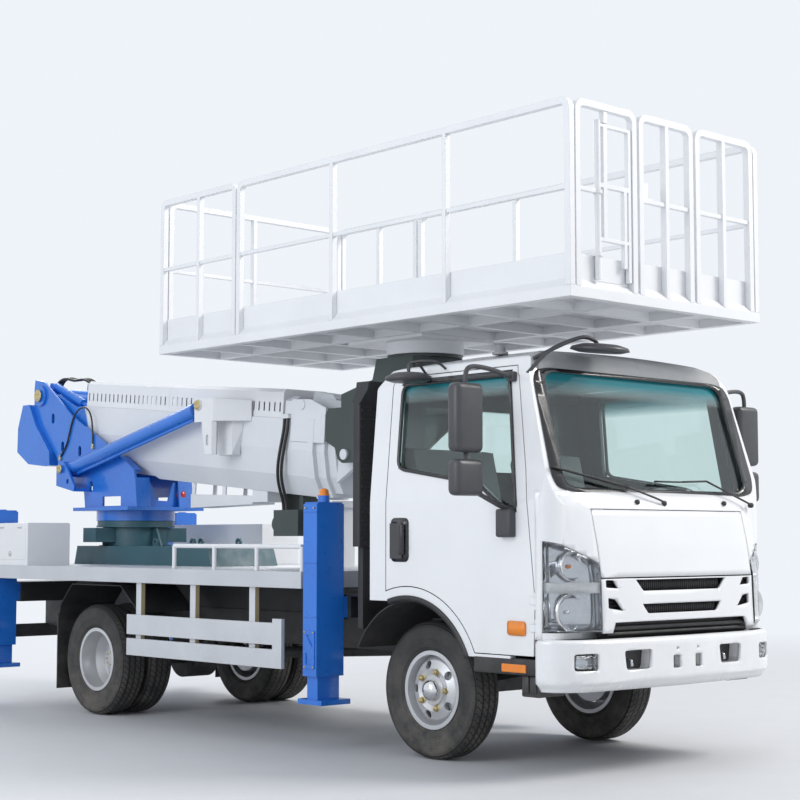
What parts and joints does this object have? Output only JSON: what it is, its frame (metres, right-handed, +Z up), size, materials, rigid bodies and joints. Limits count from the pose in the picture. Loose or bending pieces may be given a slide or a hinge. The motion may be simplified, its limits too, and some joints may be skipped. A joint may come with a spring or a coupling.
{
  "type": "aerial work platform truck",
  "caption": "Light cab-over truck with a slewing telescopic boom stowed forward over its cab, a long railed work platform on the boom's end, and outriggers",
  "frame": {"origin": "middle of the truck's footprint, on the ground", "axes": "+X forward, +Y left, +Z up"},
  "size_m": [6.68, 2.62, 3.58],
  "materials": {
    "white_paint": "gloss white cab paint",
    "white_coat": "satin white paint on tubes, boxes and boom covers",
    "blue_paint": "satin blue paint",
    "boom_paint": "satin pale blue-grey paint",
    "teal_paint": "dark blue-green paint",
    "black_paint": "black chassis paint",
    "dark_paint": "dark green-grey paint",
    "silver_paint": "silver wheel paint",
    "grey_coat": "grey guard and deck paint",
    "steel": "bright steel and chrome rods",
    "black_plastic": "grained black plastic",
    "seat_cloth": "woven blue seat covers",
    "tyre_rubber": "black tyre rubber",
    "window_glass": "green tinted glass",
    "lamp_glass": "clear lamp lenses over bright reflectors",
    "iron": "dark cast metal"
  },
  "bodies": {
    "chassis": {"frame_rails": "black_paint", "cross_members": "black_paint", "outrigger_housings": "black_paint", "axles": "black_paint", "engine_block": "iron", "fuel_tank": "steel", "cab_shell": "white_paint", "cab_glass": "window_glass", "grille_panel": "white_paint", "headlamps": "lamp_glass", "front_bumper": "white_paint", "cab_floor": "black_plastic", "cab_interior": "seat_cloth", "air_intake": "black_plastic", "deck": "grey_coat", "deck_fittings": "white_coat", "side_guards": "grey_coat", "rear_mudguards": "black_plastic", "tool_boxes": "white_coat", "pedestal": "teal_paint"},
    "front_lid": {"front_lid": "white_paint"},
    "turret": {"turret": "blue_paint", "turret_hoses": "black_plastic"},
    "boom": {"boom_base": "boom_paint", "boom_cover": "white_coat", "boom_hoses": "black_plastic", "luff_brackets": "white_coat", "pump_unit": "dark_paint"},
    "boom_middle": {"boom_middle": "boom_paint"},
    "boom_tip": {"boom_tip": "boom_paint"},
    "luff_barrels": {"luff_barrels": "blue_paint"},
    "luff_rods": {"luff_rods": "steel"},
    "platform_head": {"platform_head": "dark_paint"},
    "platform": {"platform_base": "white_coat", "platform_rails": "white_coat"},
    "platform_gate": {"platform_gate": "white_coat"},
    "knuckle_left": {"knuckle_left": "iron"},
    "front_wheel_left": {"front_wheel_left": "silver_paint", "front_tyre_left": "tyre_rubber"},
    "rear_wheels_left": {"rear_wheels_left": "silver_paint", "rear_tyres_left": "tyre_rubber"},
    "door_left": {"door_left": "white_paint", "door_glass_left": "window_glass", "mirrors_left": "black_plastic"},
    "knuckle_right": {"knuckle_right": "iron"},
    "front_wheel_right": {"front_wheel_right": "silver_paint", "front_tyre_right": "tyre_rubber"},
    "rear_wheels_right": {"rear_wheels_right": "silver_paint", "rear_tyres_right": "tyre_rubber"},
    "door_right": {"door_right": "white_paint", "door_glass_right": "window_glass", "mirrors_right": "black_plastic"},
    "outrigger_front_right": {"outrigger_front_right": "blue_paint"},
    "outrigger_foot_front_right": {"outrigger_foot_front_right": "blue_paint"},
    "outrigger_front_left": {"outrigger_front_left": "blue_paint"},
    "outrigger_foot_front_left": {"outrigger_foot_front_left": "blue_paint"},
    "outrigger_rear_right": {"outrigger_rear_right": "blue_paint"},
    "outrigger_foot_rear_right": {"outrigger_foot_rear_right": "blue_paint"},
    "outrigger_rear_left": {"outrigger_rear_left": "blue_paint"},
    "outrigger_foot_rear_left": {"outrigger_foot_rear_left": "blue_paint"}
  },
  "joints": [
    {"name": "steer_left", "type": "hinge", "parent": "chassis", "child": "knuckle_left", "pos_m": [2.2, 0.565, 0.3875], "axis": [0, 0, 1], "range_deg": [-32, 32]},
    {"name": "front_spin_left", "type": "hinge", "parent": "knuckle_left", "child": "front_wheel_left", "pos_m": [2.2, 0.665, 0.3875], "axis": [0, 1, 0], "continuous": true},
    {"name": "rear_spin_left", "type": "hinge", "parent": "chassis", "child": "rear_wheels_left", "pos_m": [-1.16, 0.66, 0.3875], "axis": [0, 1, 0], "continuous": true},
    {"name": "door_swing_left", "type": "hinge", "parent": "chassis", "child": "door_left", "pos_m": [3.186, 0.927, 1.4], "axis": [0, 0, -1], "range_deg": [0, 70]},
    {"name": "steer_right", "type": "hinge", "parent": "chassis", "child": "knuckle_right", "pos_m": [2.2, -0.565, 0.3875], "axis": [0, 0, 1], "range_deg": [-32, 32]},
    {"name": "front_spin_right", "type": "hinge", "parent": "knuckle_right", "child": "front_wheel_right", "pos_m": [2.2, -0.665, 0.3875], "axis": [0, 1, 0], "continuous": true},
    {"name": "rear_spin_right", "type": "hinge", "parent": "chassis", "child": "rear_wheels_right", "pos_m": [-1.16, -0.66, 0.3875], "axis": [0, 1, 0], "continuous": true},
    {"name": "door_swing_right", "type": "hinge", "parent": "chassis", "child": "door_right", "pos_m": [3.186, -0.927, 1.4], "axis": [0, 0, 1], "range_deg": [0, 70]},
    {"name": "beam_front_right", "type": "slide", "parent": "chassis", "child": "outrigger_front_right", "axis": [0, -1, 0], "range_m": [0, 1]},
    {"name": "foot_front_right", "type": "slide", "parent": "outrigger_front_right", "child": "outrigger_foot_front_right", "axis": [0, 0, -1], "range_m": [0, 0.265]},
    {"name": "beam_front_left", "type": "slide", "parent": "chassis", "child": "outrigger_front_left", "axis": [0, 1, 0], "range_m": [0, 1]},
    {"name": "foot_front_left", "type": "slide", "parent": "outrigger_front_left", "child": "outrigger_foot_front_left", "axis": [0, 0, -1], "range_m": [0, 0.265]},
    {"name": "beam_rear_right", "type": "slide", "parent": "chassis", "child": "outrigger_rear_right", "axis": [0, -1, 0], "range_m": [0, 1]},
    {"name": "foot_rear_right", "type": "slide", "parent": "outrigger_rear_right", "child": "outrigger_foot_rear_right", "axis": [0, 0, -1], "range_m": [0, 0.265]},
    {"name": "beam_rear_left", "type": "slide", "parent": "chassis", "child": "outrigger_rear_left", "axis": [0, 1, 0], "range_m": [0, 1]},
    {"name": "foot_rear_left", "type": "slide", "parent": "outrigger_rear_left", "child": "outrigger_foot_rear_left", "axis": [0, 0, -1], "range_m": [0, 0.265]},
    {"name": "front_lid_lift", "type": "hinge", "parent": "chassis", "child": "front_lid", "pos_m": [3.305, 0, 1.437], "axis": [0, -1, 0], "range_deg": [0, 70]},
    {"name": "slew", "type": "hinge", "parent": "chassis", "child": "turret", "pos_m": [-1.97, 0, 1.38], "axis": [0, 0, 1], "continuous": true},
    {"name": "luff", "type": "hinge", "parent": "turret", "child": "boom", "pos_m": [-3.003, 0, 2.416], "axis": [0, -1, 0], "range_deg": [0, 80]},
    {"name": "extend_middle", "type": "slide", "parent": "boom", "child": "boom_middle", "axis": [0.9959, 0, -0.0906], "range_m": [0, 2.5]},
    {"name": "extend_tip", "type": "slide", "parent": "boom_middle", "child": "boom_tip", "axis": [0.9959, 0, -0.0906], "range_m": [0, 2.5]},
    {"name": "luff_barrel_turn", "type": "hinge", "parent": "turret", "child": "luff_barrels", "pos_m": [-2.41, 0, 1.79], "axis": [0, -1, 0], "range_deg": [0, 77.3]},
    {"name": "luff_rod_slide", "type": "slide", "parent": "luff_barrels", "child": "luff_rods", "axis": [0.9775, 0, 0.211], "range_m": [0, 1.105]},
    {"name": "head_level", "type": "hinge", "parent": "boom_tip", "child": "platform_head", "pos_m": [0.87, 0, 1.79], "axis": [0, 1, 0], "range_deg": [0, 80]},
    {"name": "platform_swivel", "type": "hinge", "parent": "platform_head", "child": "platform", "pos_m": [1.36, 0, 2.41], "axis": [0, 0, 1], "range_deg": [-90, 90]},
    {"name": "gate_swing", "type": "hinge", "parent": "platform", "child": "platform_gate", "pos_m": [3.34, -0.587, 3.1], "axis": [0, 0, -1], "range_deg": [0, 90]}
  ],
  "couplings": [
    {"joint": "steer_right", "follows": "steer_left", "ratio": 1},
    {"joint": "extend_middle", "follows": "luff", "m_per_rad": 1.7904},
    {"joint": "extend_tip", "follows": "luff", "m_per_rad": 1.7904},
    {"joint": "luff_barrel_turn", "follows": "luff", "ratio": 0.95975},
    {"joint": "luff_rod_slide", "follows": "luff", "m_per_rad": 0.78811},
    {"joint": "head_level", "follows": "luff", "ratio": 1}
  ]
}
